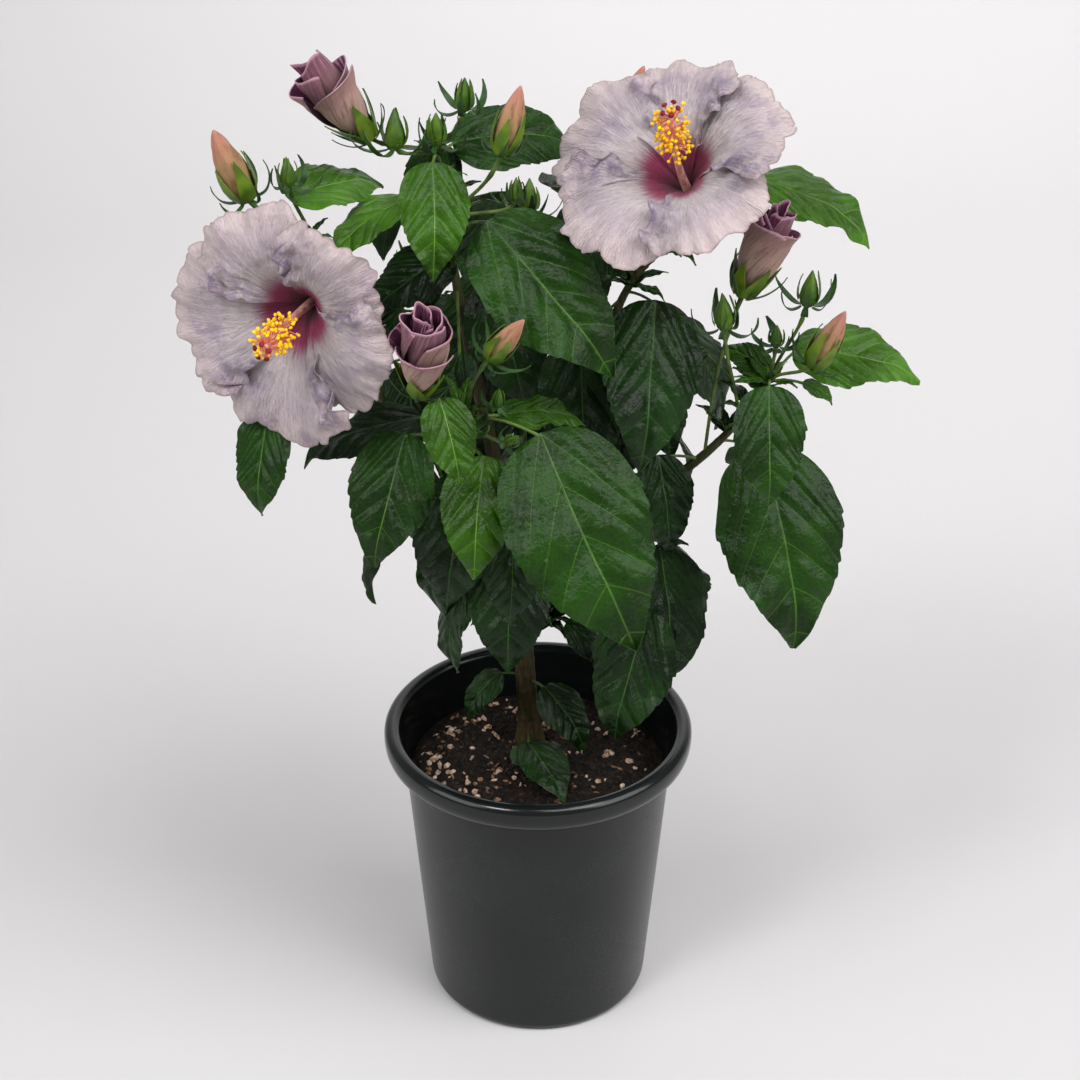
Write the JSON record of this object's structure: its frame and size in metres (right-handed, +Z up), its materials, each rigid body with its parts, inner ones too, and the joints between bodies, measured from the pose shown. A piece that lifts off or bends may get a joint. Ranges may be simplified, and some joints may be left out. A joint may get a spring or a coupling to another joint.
{
  "type": "potted hibiscus shrub",
  "caption": "Young hibiscus shrub with open lilac blooms, furled buds and drooping glossy green leaves, standing in a round dark grey plastic nursery pot of soil.",
  "frame": {"origin": "centre of the flat underside of the pot", "axes": "+Z up along the pot's axis; -Y faces the side with the open blooms, +X to that side's right"},
  "size_m": [0.4735, 0.3357, 0.716],
  "materials": {
    "pot": "satin dark slate grey plastic",
    "soil": "loose dark potting mix with pale crumbs",
    "bark": "thin tan-brown bark, greener on young boughs",
    "foliage": "glossy green leaves, lilac petals and green to salmon buds"
  },
  "bodies": {
    "root": {"pot": "pot", "soil": "soil", "trunk": "bark", "tall_bough": "bark", "left_bough": "bark", "front_bough": "bark", "flower_bough": "bark", "right_bough": "bark", "back_left_bough": "bark", "back_right_bough": "bark", "back_top_bough": "bark", "top_spray": "foliage", "left_spray": "foliage", "front_spray": "foliage", "flower_spray": "foliage", "right_spray": "foliage", "low_right_spray": "foliage", "low_front_spray": "foliage", "low_left_spray": "foliage", "back_left_spray": "foliage", "back_right_spray": "foliage", "back_top_spray": "foliage", "back_low_spray": "foliage", "foot_leaf_left": "foliage", "foot_leaf_right": "foliage", "foot_leaf_front": "foliage"}
  },
  "joints": []
}
